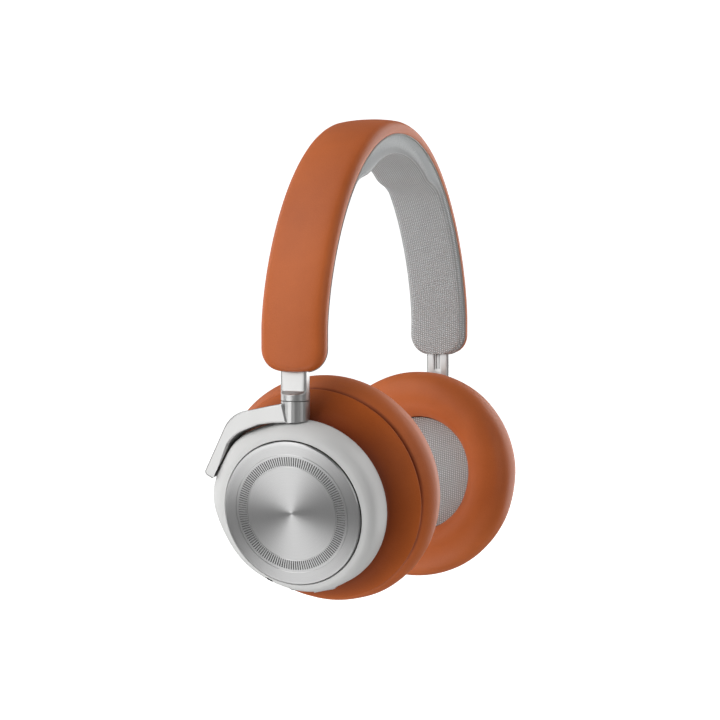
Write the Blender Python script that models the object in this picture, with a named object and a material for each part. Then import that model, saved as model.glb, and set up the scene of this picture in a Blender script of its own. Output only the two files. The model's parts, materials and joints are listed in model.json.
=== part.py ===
"""Wireless over ear headphones: a padded headband, two sliding and swivelling yoke arms and two tilting cups.

Metres, +Z up. X runs from ear to ear, and the wearer faces -Y, so the wearer's right ear is at -X.
The origin is the point at the middle of the headband pad's underside, where the crown of the head sits.
"""

import math

import bmesh
import bpy
from mathutils import Matrix, Vector

# Headband arch: its outer line is a superellipse that runs on straight down to the leather tips.
ARCH_HALF_SPAN = 0.0889
ARCH_RISE = 0.0888
ARCH_SIDE_POWER = 2.07
ARCH_TOP_POWER = 1.61
CROWN_THICKNESS = 0.0153
SIDE_THICKNESS = 0.0102
CROWN_PAD_REACH = 0.050
CROWN_PAD_BLEND = 0.016
ARCH_FOOT_Z = CROWN_THICKNESS - ARCH_RISE
BAND_TIP_Z = -0.0898
BAND_HALF_WIDTH = 0.01365
TIP_CORNER = 0.0090
COVER_SKIN = 0.0016
COVER_DEPTH = 0.0050
CAVITY_DEPTH = 0.0085
LIP_THICKNESS = 0.0018
EDGE_ROUND = 0.0026
ARCH_STEPS = 34
SPRING = {"half_width": 0.0070, "from": 0.0030, "to": 0.0038, "foot_z": -0.0580}
FRAME = {"half_width": 0.0095, "from": 0.0045, "to": 0.0070, "foot_z": -0.0560}

# Slider guides: U-shaped rails that the bars run in, open to the outside.
GUIDE_RAIL = 0.0013
GUIDE_FLOOR = 0.0007
GUIDE_SIDE_GAP = 0.00015
GUIDE_BACK_GAP = 0.0001
GUIDE_FRONT_X = 0.0837
GUIDE_LOW = 0.0033
GUIDE_HIGH = 0.0278
NECK_ROOM = 0.0068

# Sliders: a flat bar that runs in the band, a thicker neck, and an oval foot.
BAR_X = 0.08245
BAR_HALF = (0.00105, 0.0056)
BAR_TOP_Z = -0.0660
NECK_X = 0.0831
NECK_HALF = (0.0022, 0.0056)
NECK_TOP_Z = -0.0830
FOOT_X = 0.0829
FOOT_HALF = (0.0057, 0.0056)
FOOT_TOP_Z = -0.0972
FOOT_BOTTOM_Z = -0.10115

# Yoke arms: a column under the slider's foot, a bar over the cup and a leg down its rear edge.
COLUMN_TOP_Z = -0.10155
COLUMN_BOTTOM_Z = -0.1103
ARM_OUTER_X = 0.0889
ARM_INNER_X = 0.0790
SWIVEL_PIN_RADIUS = 0.0016
TILT_PIN_RADIUS = 0.0013
FIT_GAP = 0.0003

# Cups: depths run from the touch disc's face towards the head, along the cup's own axis.
PIVOT = Vector((0.0820, 0.0, -0.1285))
PIVOT_DEPTH = 0.01056
PIVOT_HEIGHT = 0.01553
CUP_FORWARD = 0.0014
REST_DROP = {"right": 0.0, "left": 0.0033}
REST_SWIVEL = {"right": 0.0, "left": math.radians(-1.5)}
REST_TILT = {"right": math.radians(8.75), "left": math.radians(6.3)}
CLEARED_TILTS = {"out": math.radians(9.25), "middle": math.radians(3.5), "in": math.radians(-3.25)}
DISC_RADIUS = 0.0290
RECESS_RADIUS = 0.0296
WALL = 0.0018
HOUSING_DEPTH = 0.0142
RIM_SWELLS = [
    {"size": 0.0034, "at": math.radians(10), "spread": math.radians(24)},
    {"size": 0.0023, "at": math.radians(46), "spread": math.radians(15)},
    {"size": -0.0020, "at": math.radians(-66), "spread": math.radians(20)},
]

# Controls and sockets on the cups' rims: angles run from the rear, positive upwards.
RIM_PART_DEPTH = 0.0098
POWER_SWITCH = {"angle": -34, "reach": 0.0352, "width": 0.0090}
POWER_SWITCH_TRAVEL = 0.0040
BUTTONS = {"listening_button": (-30, 0.0353), "assistant_button": (-46, 0.0346)}
BUTTON_WIDTH = 0.0070
CONTROL_HEIGHT = 0.0034
CONTROL_DEPTH = 0.0040
CONTROL_GAP = 0.0006
USB_ANGLE = -104
JACK_ANGLE = -82
MICROPHONE_ANGLE = -66

FINE = 36
MEDIUM = 28
COARSE = 20

TAN = (0.52, 0.17, 0.055)
PALE_KNIT = (0.55, 0.55, 0.54)
WARM_GREY = (0.62, 0.62, 0.60)
ALUMINIUM = (0.72, 0.72, 0.72)
STEEL = (0.45, 0.45, 0.46)
DARK = (0.03, 0.03, 0.03)
BOARD_GREEN = (0.02, 0.12, 0.06)

SIDES = {"right": -1.0, "left": 1.0}


# ---------------------------------------------------------------- helpers


def clear_scene():
    for obj in list(bpy.data.objects):
        bpy.data.objects.remove(obj, do_unlink=True)


def material(name, colour, roughness, metallic=0.0):
    made = bpy.data.materials.new(name)
    made.use_nodes = True
    shader = made.node_tree.nodes["Principled BSDF"]
    shader.inputs["Base Color"].default_value = (*colour, 1.0)
    shader.inputs["Roughness"].default_value = roughness
    shader.inputs["Metallic"].default_value = metallic
    return made


def add_object(name, points, faces, look, parent=None):
    """Makes a closed mesh whose faces point out, smooth except at sharp edges."""
    mesh = bpy.data.meshes.new(name)
    mesh.from_pydata([tuple(point) for point in points], [], faces)
    work = bmesh.new()
    work.from_mesh(mesh)
    bmesh.ops.remove_doubles(work, verts=work.verts, dist=1e-7)
    bmesh.ops.recalc_face_normals(work, faces=work.faces)
    if work.calc_volume(signed=True) < 0:
        bmesh.ops.reverse_faces(work, faces=work.faces)
    work.to_mesh(mesh)
    work.free()
    mesh.shade_smooth()
    mesh.set_sharp_from_angle(angle=math.radians(35))
    obj = bpy.data.objects.new(name, mesh)
    bpy.context.collection.objects.link(obj)
    if look is not None:
        mesh.materials.append(material(name, *look))
    obj.parent = parent
    return obj


def helper(obj):
    """Marks a cutter, which isn't part of the object."""
    obj.hide_render = True
    obj.display_type = "WIRE"
    return obj


def combine(obj, other, operation):
    boolean = obj.modifiers.new(operation.lower(), "BOOLEAN")
    boolean.operation = operation
    boolean.solver = "EXACT"
    boolean.object = helper(other)


def loft(name, rings, look, parent=None):
    """Joins closed rings of equally many points, and caps both ends."""
    count = len(rings[0])
    points = [point for ring in rings for point in ring]
    faces = []
    for level in range(len(rings) - 1):
        for k in range(count):
            after = (k + 1) % count
            low = level * count
            high = low + count
            faces.append((low + k, low + after, high + after, high + k))
    faces.append(tuple(range(count)))
    faces.append(tuple(range(len(points) - count, len(points))))
    return add_object(name, points, faces, look, parent)


def turned(name, profile, steps, look, parent=None, swell=None):
    """Turns a closed profile of (radius, depth[, share of the swell]) about the local Z axis."""
    columns = []
    points = []
    for radius, depth, *share in profile:
        if radius == 0:
            columns.append([len(points)] * steps)
            points.append((0.0, 0.0, -depth))
            continue
        columns.append(list(range(len(points), len(points) + steps)))
        for k in range(steps):
            angle = 2 * math.pi * k / steps
            extra = share[0] * swell(angle) if share and swell else 0.0
            reach = radius + extra
            points.append((reach * math.cos(angle), reach * math.sin(angle), -depth))
    faces = []
    for here, after in zip(columns, columns[1:] + columns[:1]):
        for k in range(steps):
            corners = (here[k], here[(k + 1) % steps], after[(k + 1) % steps], after[k])
            different = tuple(dict.fromkeys(corners))
            if len(different) > 2:
                faces.append(different)
    return add_object(name, points, faces, look, parent)


def block(name, low, high, look, parent=None, bevel=0.0, place=None):
    """A box from one corner to the other, moved by the matrix `place`."""
    xs, ys, zs = zip(low, high)
    corners = [Vector((x, y, z)) for x in xs for y in ys for z in zs]
    if place:
        corners = [place @ corner for corner in corners]
    faces = [(0, 1, 3, 2), (4, 6, 7, 5), (0, 4, 5, 1), (2, 3, 7, 6), (0, 2, 6, 4), (1, 5, 7, 3)]
    obj = add_object(name, corners, faces, look, parent)
    if bevel:
        rounding = obj.modifiers.new("bevel", "BEVEL")
        rounding.width = bevel
        rounding.segments = 2
    return obj


def rod(name, start, end, radius, look, parent=None, steps=COARSE, bore=0.0):
    """A round rod between two points, or a tube if it has a bore."""
    axis = (end - start).normalized()
    across = axis.orthogonal().normalized()
    other = axis.cross(across)

    def ring(centre, reach):
        angles = [2 * math.pi * k / steps for k in range(steps)]
        return [centre + reach * (across * math.cos(a) + other * math.sin(a)) for a in angles]

    if not bore:
        return loft(name, [ring(start, radius), ring(end, radius)], look, parent)
    rings = [ring(start, radius), ring(end, radius), ring(end, bore), ring(start, bore)]
    points = [point for one in rings for point in one]
    faces = []
    for level in range(4):
        low = level * steps
        high = (level + 1) % 4 * steps
        for k in range(steps):
            after = (k + 1) % steps
            faces.append((low + k, low + after, high + after, high + k))
    return add_object(name, points, faces, look, parent)


def empty(name, location, rotation=None, parent=None):
    """An axis that other objects hang on, placed in its parent's frame."""
    made = bpy.data.objects.new(name, None)
    bpy.context.collection.objects.link(made)
    made.parent = parent
    made.matrix_basis = Matrix.Translation(location) @ (rotation.to_4x4() if rotation else Matrix())
    return made


# ---------------------------------------------------------------- headband


def arch_point(angle):
    """Point of the band's outer line, in the XZ plane, at 0 for the left foot and pi for the right foot."""
    side = math.cos(angle)
    x = math.copysign(abs(side) ** (2 / ARCH_SIDE_POWER), side) * ARCH_HALF_SPAN
    z = ARCH_FOOT_Z + ARCH_RISE * abs(math.sin(angle)) ** (2 / ARCH_TOP_POWER)
    return Vector((x, 0.0, z))


def band_stations(lowest_z):
    """Points along the outer line from side to side, each with the direction into the band."""
    points = []
    if lowest_z < ARCH_FOOT_Z:
        drops = [0.0, 0.0005, 0.0013, 0.0026, 0.0045, 0.0066, 0.0090]
        points = [Vector((ARCH_HALF_SPAN, 0.0, lowest_z + drop)) for drop in drops]
    for k in range(ARCH_STEPS + 1):
        point = arch_point(math.pi * k / ARCH_STEPS)
        if point.z >= lowest_z and k <= ARCH_STEPS // 2:
            points.append(point)
    mirrored = [Vector((-point.x, 0.0, point.z)) for point in reversed(points[:-1])]
    points += mirrored
    stations = []
    for k, point in enumerate(points):
        before = points[max(k - 1, 0)]
        after = points[min(k + 1, len(points) - 1)]
        along = (after - before).normalized()
        stations.append((point, Vector((-along.z, 0.0, along.x))))
    return stations


def smooth_step(value):
    value = min(max(value, 0.0), 1.0)
    return value * value * (3 - 2 * value)


def band_thickness(point):
    """The pad is thick under the crown and thin down the sides."""
    crown = smooth_step((CROWN_PAD_REACH + CROWN_PAD_BLEND / 2 - abs(point.x)) / CROWN_PAD_BLEND)
    return SIDE_THICKNESS + crown * (CROWN_THICKNESS - SIDE_THICKNESS)


def band_half_width(point):
    """The tips have round corners."""
    rise = max(point.z - BAND_TIP_Z, 0.0)
    if rise >= TIP_CORNER:
        return BAND_HALF_WIDTH
    return BAND_HALF_WIDTH - TIP_CORNER + math.sqrt(TIP_CORNER**2 - (TIP_CORNER - rise) ** 2)


def band_layer(name, section, lowest_z, look):
    """Sweeps a cross-section, given as points (across, depth), along the arch."""
    rings = []
    for point, inward in band_stations(lowest_z):
        rings.append([point + inward * depth + Vector((0, across, 0)) for across, depth in section(point)])
    return loft(name, rings, look)


def mirrored_section(half):
    return half + [(-across, depth) for across, depth in reversed(half)]


def cover_section(point):
    """The leather's channel: an outer skin with rounded shoulders and two side walls."""
    width = band_half_width(point)
    inner = width - COVER_SKIN
    outside = [(width * 0.40, 0.0001), (width - EDGE_ROUND, 0.0006), (width - 0.0006, 0.0021)]
    edge = [(width, 0.0036), (width, COVER_DEPTH), (inner, COVER_DEPTH)]
    inside = [(inner, 0.0030), (inner - 0.0016, COVER_SKIN), (inner * 0.4, COVER_SKIN)]
    return mirrored_section(outside + edge + inside)


def pad_section(point):
    """The pad's channel: two side lips that meet the leather and a rounded underside."""
    width = band_half_width(point) - 0.0004
    inner = width - LIP_THICKNESS
    thickness = band_thickness(point)
    inside = [(inner * 0.5, CAVITY_DEPTH), (inner, CAVITY_DEPTH), (inner, COVER_DEPTH + FIT_GAP)]
    side = [(width, COVER_DEPTH + FIT_GAP), (width, thickness - 0.0016), (width - 0.0012, thickness - 0.0004)]
    return mirrored_section(inside + side + [(width * 0.5, thickness)])


def flat_strip(strip):
    """Section of a flat strip, which is the same at every point."""
    reach = strip["half_width"]
    corners = [(-reach, strip["from"]), (reach, strip["from"]), (reach, strip["to"]), (-reach, strip["to"])]
    return lambda point: corners


def build_headband():
    cover = band_layer("headband_cover", cover_section, BAND_TIP_Z, (TAN, 0.55))
    pad = band_layer("headband_pad", pad_section, BAND_TIP_Z + 0.0004, (PALE_KNIT, 0.9))
    for side, sign in SIDES.items():
        low = (sign * NECK_X - NECK_HALF[0] - 0.0004, -NECK_HALF[1] - FIT_GAP, BAND_TIP_Z - 0.002)
        high = (sign * NECK_X + NECK_HALF[0] + 0.0004, NECK_HALF[1] + FIT_GAP, BAND_TIP_Z + 0.012)
        combine(cover, block(f"neck_way_in_cover_{side}", low, high, None), "DIFFERENCE")
        combine(pad, block(f"neck_way_in_pad_{side}", low, high, None), "DIFFERENCE")
    band_layer("headband_spring", flat_strip(SPRING), SPRING["foot_z"], (STEEL, 0.35, 1.0))
    band_layer("headband_frame", flat_strip(FRAME), FRAME["foot_z"], (DARK, 0.6))
    for side, sign in SIDES.items():
        build_guide(side, sign)


def build_guide(side, sign):
    """A channel that the slider's bar runs in, cut away where the thicker neck comes up."""
    inner_y = BAR_HALF[1] + GUIDE_SIDE_GAP
    outer_y = inner_y + GUIDE_RAIL
    back = BAR_X - BAR_HALF[0] - GUIDE_BACK_GAP
    floor = back - GUIDE_FLOOR
    front = GUIDE_FRONT_X
    outline = [
        (front, -outer_y),
        (front, -inner_y),
        (back, -inner_y),
        (back, inner_y),
        (front, inner_y),
        (front, outer_y),
        (floor, outer_y),
        (floor, -outer_y),
    ]
    levels = (BAND_TIP_Z + GUIDE_LOW, BAND_TIP_Z + GUIDE_HIGH)
    rings = [[(sign * x, y, z) for x, y in outline] for z in levels]
    guide = loft(f"slider_guide_{side}", rings, (DARK, 0.5))
    edges = sorted((sign * (floor - 0.001), sign * (front + 0.001)))
    low = (edges[0], -inner_y, BAND_TIP_Z)
    high = (edges[1], inner_y, NECK_TOP_Z + NECK_ROOM)
    combine(guide, block(f"neck_way_in_guide_{side}", low, high, None), "DIFFERENCE")


# ---------------------------------------------------------------- sliders and yokes


def oval(centre_x, half, squareness, z, steps=28):
    """A ring between an ellipse (2) and a rectangle (large), around (centre_x, 0) at height z."""
    ring = []
    for k in range(steps):
        angle = 2 * math.pi * (k + 0.5) / steps
        c = math.cos(angle)
        s = math.sin(angle)
        x = centre_x + math.copysign(abs(c) ** (2 / squareness), c) * half[0]
        y = math.copysign(abs(s) ** (2 / squareness), s) * half[1]
        ring.append((x, y, z))
    return ring


def build_slider(side, sign, parent):
    """Foot, scooped shoulder, neck and bar in one piece."""
    bar = (sign * BAR_X, BAR_HALF, 7)
    neck = (sign * NECK_X, NECK_HALF, 7)
    foot = (sign * FOOT_X, FOOT_HALF, 2.2)
    shoulder = (sign * FOOT_X, (0.0043, FOOT_HALF[1]), 3)
    levels = [
        (*foot, FOOT_BOTTOM_Z),
        (*foot, FOOT_TOP_Z - 0.0016),
        (*shoulder, FOOT_TOP_Z - 0.0006),
        (*neck, FOOT_TOP_Z),
        (*neck, NECK_TOP_Z),
        (*bar, NECK_TOP_Z + 0.0003),
        (*bar, BAR_TOP_Z),
    ]
    rings = [oval(*level) for level in levels]
    origin = Vector((sign * FOOT_X, 0, FOOT_BOTTOM_Z))
    rings = [[Vector(point) - origin for point in ring] for ring in rings]
    slider = loft(f"slider_{side}", rings, (ALUMINIUM, 0.3, 1.0), parent)
    bore = rod(f"pin_bore_{side}", Vector((0, 0, -0.002)), Vector((0, 0, 0.0036)), 0.0019, None, parent)
    combine(slider, bore, "DIFFERENCE")
    pin_look = (STEEL, 0.3, 1.0)
    pin = (Vector((0, 0, -0.0045)), Vector((0, 0, 0.0033)))
    rod(f"swivel_pin_{side}", *pin, SWIVEL_PIN_RADIUS, pin_look, parent)
    washer = (Vector((0, 0, -0.00085)), Vector((0, 0, -0.00015)))
    rod(f"swivel_washer_{side}", *washer, 0.0038, (DARK, 0.5), parent, bore=0.0019)


def arc_points(centre, radius, start, end, steps):
    angles = [math.radians(start + (end - start) * k / steps) for k in range(steps + 1)]
    return [(centre[0] + radius * math.cos(a), centre[1] + radius * math.sin(a)) for a in angles]


def arm_outline():
    """Side view of the arm as (rearward, up): a bar over the cup, an elbow, and a leg that leans out."""
    top = [(0.0030, -0.1022), (0.0052, -0.1027), (0.0080, -0.1032), (0.0130, -0.1043)]
    elbow_out = arc_points((0.0170, -0.1186), 0.0132, 82, 28, 6)
    end = [(0.0374, -0.1302), (0.0373, -0.1313), (0.0366, -0.1320), (0.0333, -0.1337), (0.0325, -0.1333)]
    elbow_in = arc_points((0.0145, -0.1270), 0.0146, 32, 72, 5)
    return top + elbow_out + end + elbow_in + [(0.0138, -0.1111), (0.0080, -0.1102), (0.0010, -0.1100)]


def cup_matrix(sign, tilt):
    """Local Z points out of the cup along its axis and local Y up; rearward is sign times local X."""
    outward = Vector((sign * math.cos(tilt), 0, -math.sin(tilt)))
    forward_axis = Vector((0, sign, 0))
    up = outward.cross(forward_axis)
    return Matrix((forward_axis, up, outward)).transposed()


def cup_centre(sign):
    """The disc's centre in the pivot's local frame."""
    return Vector((-sign * CUP_FORWARD, -PIVOT_HEIGHT, PIVOT_DEPTH))


def build_yoke(side, sign, parent):
    """Arm and column in one piece, cut clear of the cup at every tilt."""
    look = (ALUMINIUM, 0.35, 1.0)
    outline = arm_outline()
    rings = []
    for x in (ARM_INNER_X, ARM_OUTER_X):
        rings.append([Vector((sign * (x - FOOT_X), y, z - COLUMN_TOP_Z)) for y, z in outline])
    arm = loft(f"yoke_arm_{side}", rings, look, parent)
    rounding = arm.modifiers.new("bevel", "BEVEL")
    rounding.width = 0.0007
    rounding.segments = 2
    rounding.limit_method = "ANGLE"
    rounding.angle_limit = math.radians(50)
    column_rings = [oval(0, FOOT_HALF, 2.2, z - COLUMN_TOP_Z) for z in (COLUMN_BOTTOM_Z, COLUMN_TOP_Z)]
    column = loft(f"column_{side}", column_rings, None, parent)
    combine(arm, column, "UNION")

    clearance = [
        (0, -0.001),
        (0.0300, -0.001),
        (0.0319, 0.0011, 0.15),
        (0.0336, 0.0027, 0.5),
        (0.0346, 0.0047, 0.9),
        (0.0355, 0.0146, 1.0),
        (0.0356, 0.0160, 0.2),
        (0.0375, 0.0186),
        (0.0414, 0.0234),
        (0.0446, 0.0283),
        (0.0480, 0.0300),
        (0, 0.0300),
    ]
    for name, tilt in CLEARED_TILTS.items():
        cutter = turned(f"cup_room_{name}_{side}", clearance, FINE, None, parent, swell=side_swell(sign))
        pivot = Vector((sign * (PIVOT.x - FOOT_X), 0, PIVOT.z - COLUMN_TOP_Z))
        turn = cup_matrix(sign, tilt).to_4x4()
        cutter.matrix_local = Matrix.Translation(pivot) @ turn @ Matrix.Translation(cup_centre(sign))
        combine(arm, cutter, "DIFFERENCE")

    seat = rod(f"bush_seat_{side}", Vector((0, 0, -0.012)), Vector((0, 0, 0.001)), 0.0032, None, parent)
    combine(arm, seat, "DIFFERENCE")
    recess = rod(f"washer_seat_{side}", Vector((0, 0, -0.0007)), Vector((0, 0, 0.001)), 0.0042, None, parent)
    combine(arm, recess, "DIFFERENCE")
    bush = (Vector((0, 0, -0.0040)), Vector((0, 0, -0.0010)))
    rod(f"swivel_bush_{side}", *bush, 0.0029, ((0.55, 0.42, 0.2), 0.4, 1.0), parent, bore=0.0018)

    height = PIVOT.z - COLUMN_TOP_Z
    across = sign * (PIVOT.x - FOOT_X)
    hole = (Vector((across, 0.0280, height)), Vector((across, 0.0346, height)))
    combine(arm, rod(f"tilt_pin_seat_{side}", *hole, TILT_PIN_RADIUS + FIT_GAP, None, parent), "DIFFERENCE")
    pin = (Vector((across, 0.0262, height)), Vector((across, 0.0343, height)))
    rod(f"tilt_pin_{side}", *pin, TILT_PIN_RADIUS, (STEEL, 0.3, 1.0), parent)


# ---------------------------------------------------------------- cups


def side_swell(sign):
    """The housing's rim swells at the rear, round the tilt pin, and flattens low at the rear."""

    def swell(angle):
        from_rear = angle if sign > 0 else math.pi - angle
        total = 0.0
        for bump in RIM_SWELLS:
            off = math.remainder(from_rear - bump["at"], 2 * math.pi)
            total += bump["size"] * math.exp(-((off / bump["spread"]) ** 2))
        return total

    return swell


def rim_place(sign, degrees, radius, depth):
    """Frame on the cup's rim: X runs out of the cup, Y round the rim and Z along the cup's axis."""
    angle = math.radians(degrees)
    direction = Vector((sign * math.cos(angle), math.sin(angle), 0))
    around = Vector((0, 0, 1)).cross(direction)
    turn = Matrix((direction, around, Vector((0, 0, 1)))).transposed().to_4x4()
    return Matrix.Translation(direction * radius - Vector((0, 0, depth))) @ turn


def centred(depth, width, height):
    """Corners of a box from -depth to 0 along X, centred on the other two axes."""
    return (-depth, -width / 2, -height / 2), (0.0, width / 2, height / 2)


def build_housing(side, sign, cup):
    outside = [
        (0, 0.0027),
        (RECESS_RADIUS, 0.0027),
        (RECESS_RADIUS, 0.0009),
        (0.0316, 0.0017, 0.15),
        (0.0332, 0.0032, 0.5),
        (0.0341, 0.0050, 0.9),
        (0.0350, HOUSING_DEPTH, 1.0),
    ]
    inside = [
        (0.0350 - WALL, HOUSING_DEPTH, 1.0),
        (0.0343 - WALL, 0.0064, 0.9),
        (0.0306, 0.0043),
        (0, 0.0043),
    ]
    look = (WARM_GREY, 0.4)
    housing = turned(f"cup_housing_{side}", outside + inside, FINE, look, cup, swell=side_swell(sign))
    pivot = -cup_centre(sign)
    start = pivot + Vector((sign * 0.024, 0, 0))
    end = pivot + Vector((sign * 0.040, 0, 0))
    combine(housing, rod(f"bush_hole_{side}", start, end, 0.0028, None, cup), "DIFFERENCE")
    bush = (pivot + Vector((sign * 0.0276, 0, 0)), pivot + Vector((sign * 0.0312, 0, 0)))
    rod(f"tilt_bush_{side}", *bush, 0.0025, ((0.75, 0.75, 0.72), 0.5), cup, bore=0.0015)
    return housing


def cut_rim_slot(housing, name, place, width, height, cup):
    low, high = centred(0.0060, width, height)
    slot = block(name, low, (0.0040, high[1], high[2]), None, cup, place=place)
    combine(housing, slot, "DIFFERENCE")


def build_rim_parts(side, sign, cup, housing):
    """Controls and sockets let into the housing's rim."""
    mic = rim_place(sign, MICROPHONE_ANGLE, 0.0318, 0.0034)
    cut_rim_slot(housing, f"mic_slot_{side}", mic, 0.0032, 0.0012, cup)
    low, high = centred(0.0010, 0.0026, 0.0006)
    block(f"mic_mesh_{side}", low, (0.0002, *high[1:]), (DARK, 0.6), cup, place=mic)
    if side == "right":
        build_power_switch(sign, cup, housing)
        build_sockets(sign, cup, housing)
    else:
        build_buttons(sign, cup, housing)


def build_power_switch(sign, cup, housing):
    place = rim_place(sign, POWER_SWITCH["angle"], POWER_SWITCH["reach"], RIM_PART_DEPTH)
    way = POWER_SWITCH["width"] + POWER_SWITCH_TRAVEL + CONTROL_GAP
    cut_rim_slot(housing, "power_slot", place, way, CONTROL_HEIGHT + CONTROL_GAP, cup)
    low, high = centred(CONTROL_DEPTH, POWER_SWITCH["width"], CONTROL_HEIGHT)
    at_start = place @ Matrix.Translation((0, -POWER_SWITCH_TRAVEL / 2, 0))
    block("power_switch", low, high, (DARK, 0.45), cup, bevel=0.0004, place=at_start)


def build_buttons(sign, cup, housing):
    for name, (angle, reach) in BUTTONS.items():
        place = rim_place(sign, angle, reach, RIM_PART_DEPTH)
        opening = (BUTTON_WIDTH + CONTROL_GAP, CONTROL_HEIGHT + CONTROL_GAP)
        cut_rim_slot(housing, f"{name}_slot", place, *opening, cup)
        low, high = centred(CONTROL_DEPTH, BUTTON_WIDTH, CONTROL_HEIGHT)
        block(name, low, high, (DARK, 0.45), cup, bevel=0.0004, place=place)


def build_sockets(sign, cup, housing):
    usb = rim_place(sign, USB_ANGLE, 0.0347, RIM_PART_DEPTH)
    cut_rim_slot(housing, "usb_opening", usb, 0.0100, 0.0040, cup)
    socket = block("usb_socket", *centred(0.0070, 0.0094, 0.0034), (STEEL, 0.35, 1.0), cup, place=usb)
    low, high = centred(0.0062, 0.0086, 0.0026)
    mouth = block("usb_mouth", low, (0.001, *high[1:]), None, cup, place=usb)
    combine(socket, mouth, "DIFFERENCE")
    jack = rim_place(sign, JACK_ANGLE, 0.0344, RIM_PART_DEPTH)
    along = (jack @ Vector((-0.0130, 0, 0)), jack @ Vector((-0.0002, 0, 0)))
    body = rod("jack_socket", *along, 0.0030, (DARK, 0.4), cup)
    hollow = (jack @ Vector((-0.0122, 0, 0)), jack @ Vector((0.0010, 0, 0)))
    combine(body, rod("jack_mouth", *hollow, 0.0018, None, cup), "DIFFERENCE")
    opening = (jack @ Vector((-0.0060, 0, 0)), jack @ Vector((0.0040, 0, 0)))
    combine(housing, rod("jack_opening", *opening, 0.0033, None, cup), "DIFFERENCE")


def build_cup_shells(side, sign, cup):
    face = [(0, 0), (0.0286, 0), (DISC_RADIUS, 0.0004), (DISC_RADIUS, 0.0011)]
    spigot = [(0.0277, 0.0011), (0.0277, 0.0023), (0, 0.0023)]
    turned(f"touch_disc_{side}", face + spigot, FINE, (ALUMINIUM, 0.3, 1.0), cup)
    gasket = [(0.0281, 0.0014), (0.0293, 0.0014), (0.0293, 0.0024), (0.0281, 0.0024)]
    turned(f"disc_gasket_{side}", gasket, MEDIUM, (DARK, 0.7), cup)
    chassis = [
        (0.0314, 0.0146),
        (0.0316, 0.0168),
        (0.0366, 0.0232),
        (0.0411, 0.0292),
        (0.0411, 0.0300),
        (0.0213, 0.0300),
        (0.0213, 0.0284),
        (0.0385, 0.0284),
        (0.0355, 0.0238),
        (0.0303, 0.0166),
        (0.0300, 0.0146),
    ]
    turned(f"cup_chassis_{side}", chassis, MEDIUM, (DARK, 0.5), cup)


def build_driver(side, cup):
    frame = [
        (0.0235, 0.0303),
        (0.0235, 0.0313),
        (0.0194, 0.0313),
        (0.0194, 0.0255),
        (0.0116, 0.0255),
        (0.0116, 0.0243),
        (0.0209, 0.0243),
        (0.0209, 0.0303),
    ]
    turned(f"driver_frame_{side}", frame, COARSE, (DARK, 0.4), cup)
    magnet = [(0, 0.0200), (0.0112, 0.0200), (0.0112, 0.0255), (0, 0.0255)]
    turned(f"driver_magnet_{side}", magnet, COARSE, (STEEL, 0.3, 1.0), cup)
    coil = [(0.0090, 0.0259), (0.0097, 0.0259), (0.0097, 0.0290), (0.0090, 0.0290)]
    turned(f"voice_coil_{side}", coil, COARSE, ((0.45, 0.2, 0.08), 0.35, 1.0), cup)
    skin = [(0, 0.0302), (0.0093, 0.0293), (0.0188, 0.0303), (0.0188, 0.0308), (0.0093, 0.0298), (0, 0.0307)]
    turned(f"diaphragm_{side}", skin, COARSE, ((0.1, 0.1, 0.1), 0.3), cup)
    guard = [
        (0.0242, 0.0317),
        (0.0271, 0.0317),
        (0.0271, 0.0326),
        (0.0256, 0.0362),
        (0, 0.0362),
        (0, 0.0352),
        (0.0250, 0.0352),
        (0.0258, 0.0328),
        (0.0242, 0.0328),
    ]
    turned(f"driver_guard_{side}", guard, COARSE, (DARK, 0.5), cup)
    cloth = [(0, 0.0366), (0.0260, 0.0366), (0.0260, 0.0373), (0, 0.0373)]
    turned(f"driver_cloth_{side}", cloth, MEDIUM, (PALE_KNIT, 0.9), cup)
    board = [(0, 0.0050), (0.0270, 0.0050), (0.0270, 0.0062), (0, 0.0062)]
    turned(f"circuit_board_{side}", board, COARSE, (BOARD_GREEN, 0.5), cup)


def build_cushion(side, cup):
    plate = [(0.0276, 0.0303), (0.0406, 0.0303), (0.0406, 0.0318), (0.0276, 0.0318)]
    turned(f"cushion_ring_{side}", plate, MEDIUM, (DARK, 0.5), cup)
    skirt = [
        (0.0343, 0.0147),
        (0.0348, 0.0168),
        (0.0369, 0.0190),
        (0.0409, 0.0238),
        (0.0439, 0.0286),
        (0.0420, 0.0290),
        (0.0391, 0.0248),
        (0.0351, 0.0200),
        (0.0330, 0.0174),
        (0.0327, 0.0159),
    ]
    turned(f"cushion_skirt_{side}", skirt, FINE, (TAN, 0.55), cup)
    roll = [
        (0.0420, 0.0297),
        (0.0436, 0.0292),
        (0.0460, 0.0325),
        (0.0473, 0.0392),
        (0.0460, 0.0448),
        (0.0424, 0.0489),
        (0.0368, 0.0506),
        (0.0313, 0.0489),
        (0.0276, 0.0447),
        (0.0264, 0.0394),
        (0.0270, 0.0360),
        (0.0286, 0.0322),
        (0.0411, 0.0322),
    ]
    turned(f"ear_cushion_{side}", roll, FINE, (TAN, 0.55), cup)


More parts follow.
